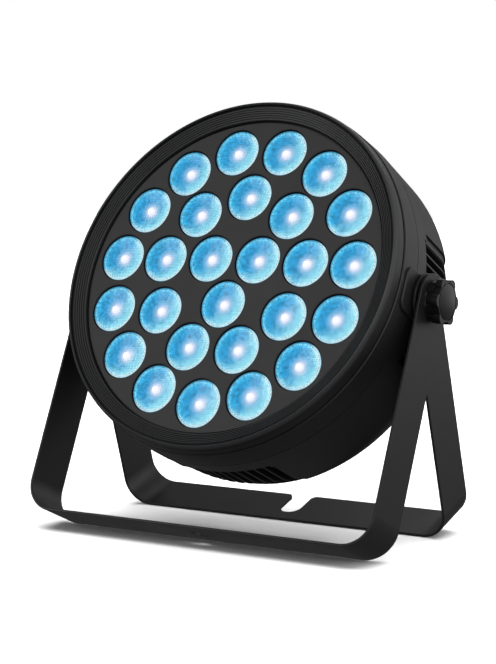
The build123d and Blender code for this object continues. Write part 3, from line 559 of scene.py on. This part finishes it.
def make_lenses():
    vertices, faces, crowns = lens_mesh()
    for node, ring_radius, count, first in LENS_RINGS:
        for number in range(count):
            angle = math.radians(first + number * 360.0 / count)
            centre_x = ring_radius * math.sin(angle)
            centre = Vector((centre_x, LENS_RIM_Y, ring_radius * math.cos(angle)))
            moved = [Vector(v) + centre for v in vertices]
            name = node.replace("lenses", "lens") + "_" + str(number + 1)
            lens = piece(name, moved, faces, "lens_lit", "head", node)
            uv = lens.data.uv_layers.new(name="across")
            for loop in lens.data.loops:
                x, y, z = vertices[loop.vertex_index]
                uv.data[loop.index].uv = (0.5 + 0.5 * x / LENS_RADIUS, 0.5 + 0.5 * z / LENS_RADIUS)
            bead = lens.data.attributes.new("bead", "FLOAT", "POINT")
            bead.data.foreach_set("value", crowns)


make_lenses()


# ---------------------------------------------------------------- floor and light
FLOOR_REACH = 8.0
FLOOR_GAP = 0.0002                      # below the stand, so that the faces don't coincide
SOFTBOX_DISTANCE = 2.0                  # from the pivot
SOFTBOX_SIZE = 1.2
SOFTBOXES = (
    # name, azimuth, elevation, power
    ("front_left", -45, 12, 9.0),
    ("camera_side", 32, 0, 4.5),
    ("front_right", 58, 30, 10.5),
    ("right", 90, 10, 3.0),
    ("right_rear_low", 130, 8, 2.0),
    ("right_rear_high", 120, 24, 4.5),
    ("rear_high", 190, 38, 4.5),
    ("rear_fill", 158, 10, 2.6),
)
OVERHEAD_STRENGTH = 5.8
OVERHEAD_SPREAD = 70.0                  # degrees
GLOW_LOW = 0.13                         # the studio's glow on the object, from below
GLOW_HIGH = 0.24                        # and from above


def make_floor():
    """A plain white floor that takes shadows but neither lights nor shades the object."""
    size = FLOOR_REACH
    low = -FLOOR_GAP
    mesh = bpy.data.meshes.new("floor")
    corners = [(-size, -size, low), (size, -size, low), (size, size, low), (-size, size, low)]
    mesh.from_pydata([Vector(c) for c in corners], [], [(0, 1, 2, 3)])
    floor = bpy.data.objects.new("floor", mesh)
    bpy.context.scene.collection.objects.link(floor)
    material, tree, shader, place = blank("floor_white")
    shader.inputs["Specular IOR Level"].default_value = 0.0
    tone = ramp(tree, noise(tree, place, 2.0), [(0.3, grey(0.86)), (0.7, grey(0.88))])
    tree.links.new(tone, shader.inputs["Base Color"])
    shader.inputs["Roughness"].default_value = 0.9
    mesh.materials.append(material)
    floor.visible_diffuse = False
    floor.visible_glossy = False
    floor.visible_shadow = False
    return floor


def softbox(name, azimuth, elevation, power):
    """A square soft light that faces the pivot; azimuth 0 is the front and 90 the right."""
    turn = math.radians(azimuth)
    lift = math.radians(elevation)
    level = math.cos(lift)
    way = Vector((math.sin(turn) * level, -math.cos(turn) * level, math.sin(lift)))
    data = bpy.data.lights.new(name, "AREA")
    data.shape = "SQUARE"
    data.size = SOFTBOX_SIZE
    data.energy = power
    light = bpy.data.objects.new(name, data)
    light.location = PIVOT + SOFTBOX_DISTANCE * way
    light.rotation_euler = (-way).to_track_quat("-Z", "Y").to_euler()
    bpy.context.scene.collection.objects.link(light)


def overhead(name, strength, spread_angle, floor):
    """A broad overhead light that falls on the floor alone, up to the horizon."""
    data = bpy.data.lights.new(name, "SUN")
    data.energy = strength
    data.angle = math.radians(spread_angle)
    light = bpy.data.objects.new(name, data)
    light.rotation_euler = (0.0, 0.0, 0.0)
    bpy.context.scene.collection.objects.link(light)
    receivers = bpy.data.collections.new("floor_only")
    receivers.objects.link(floor)
    light.light_linking.receiver_collection = receivers


def make_world():
    """A white studio behind the floor, with a soft glow that is stronger from above."""
    world = bpy.data.worlds.new("studio")
    bpy.context.scene.world = world
    world.use_nodes = True
    tree = world.node_tree
    background = tree.nodes["Background"]
    background.inputs["Color"].default_value = grey(1.0)
    way = tree.nodes.new("ShaderNodeTexCoord").outputs["Generated"]
    height = add(tree, "ShaderNodeSeparateXYZ", {"Vector": way}).outputs["Z"]
    glow = add(tree, "ShaderNodeMapRange", {
        "Value": height, "From Min": -0.1, "From Max": 0.9,
        "To Min": GLOW_LOW, "To Max": GLOW_HIGH,
    })
    seen = tree.nodes.new("ShaderNodeLightPath").outputs["Is Camera Ray"]
    strength = add(tree, "ShaderNodeMix", {0: seen, 2: glow.outputs["Result"], 3: 1.0})
    tree.links.new(strength.outputs[0], background.inputs["Strength"])


floor = make_floor()
make_world()
for box in SOFTBOXES:
    softbox(*box)
overhead("overhead", OVERHEAD_STRENGTH, OVERHEAD_SPREAD, floor)

scene = bpy.context.scene
scene.view_settings.view_transform = "Standard"
scene.view_settings.look = "None"
